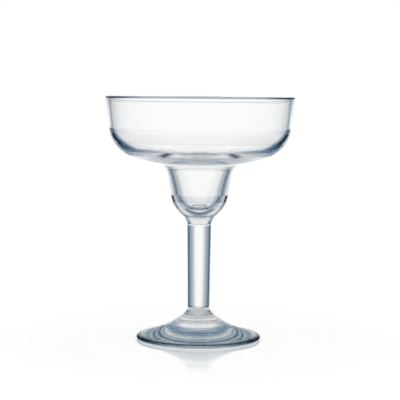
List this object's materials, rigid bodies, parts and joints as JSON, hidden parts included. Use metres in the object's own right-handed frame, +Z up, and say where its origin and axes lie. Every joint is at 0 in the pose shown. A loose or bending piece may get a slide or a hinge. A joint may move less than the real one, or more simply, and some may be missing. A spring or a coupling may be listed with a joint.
{
  "type": "margarita glass",
  "caption": "Clear stemmed glass with a wide dish over a narrow round-bottomed well, a solid tapered stem and a conical foot.",
  "frame": {"origin": "centre of the foot, on the plane that the glass stands on", "axes": "+Z up along the axis of the glass; round about +Z, so X and Y are free"},
  "size_m": [0.126, 0.126, 0.1625],
  "materials": {
    "clear_glass": "clear, fire-polished"
  },
  "bodies": {
    "root": {"bowl": "clear_glass", "stem": "clear_glass", "foot": "clear_glass"}
  },
  "joints": []
}
